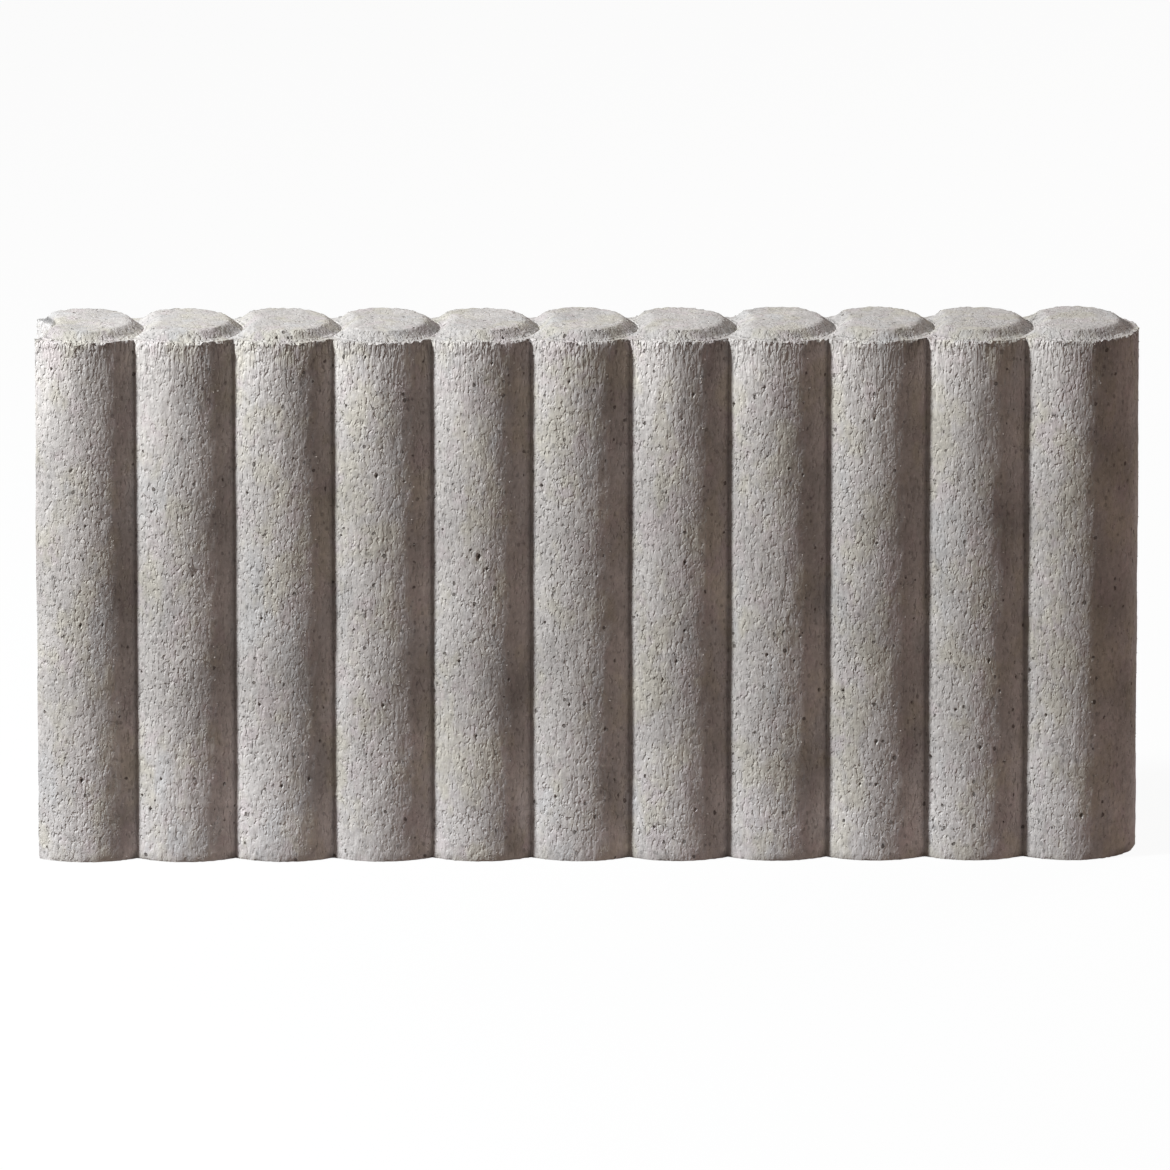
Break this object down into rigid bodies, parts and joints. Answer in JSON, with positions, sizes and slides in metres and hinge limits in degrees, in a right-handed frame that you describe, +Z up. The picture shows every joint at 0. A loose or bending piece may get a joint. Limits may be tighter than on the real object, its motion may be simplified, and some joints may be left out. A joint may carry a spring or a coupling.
{
  "type": "concrete kerb stone",
  "caption": "Scalloped concrete kerb stone: a row of round posts with bevelled oval heads cast in one piece, with one rounded and one hollow end.",
  "frame": {"origin": "centre of the underside, at the middle of the whole stone's length and thickness", "axes": "+X along the row of posts towards the rounded end, +Y through the thickness away from the front, +Z up the posts"},
  "size_m": [0.5072, 0.06, 0.25],
  "materials": {
    "concrete": "matte warm grey pressed concrete, fine sand grain with small pores"
  },
  "bodies": {
    "root": {"kerb_stone": "concrete"}
  },
  "joints": []
}
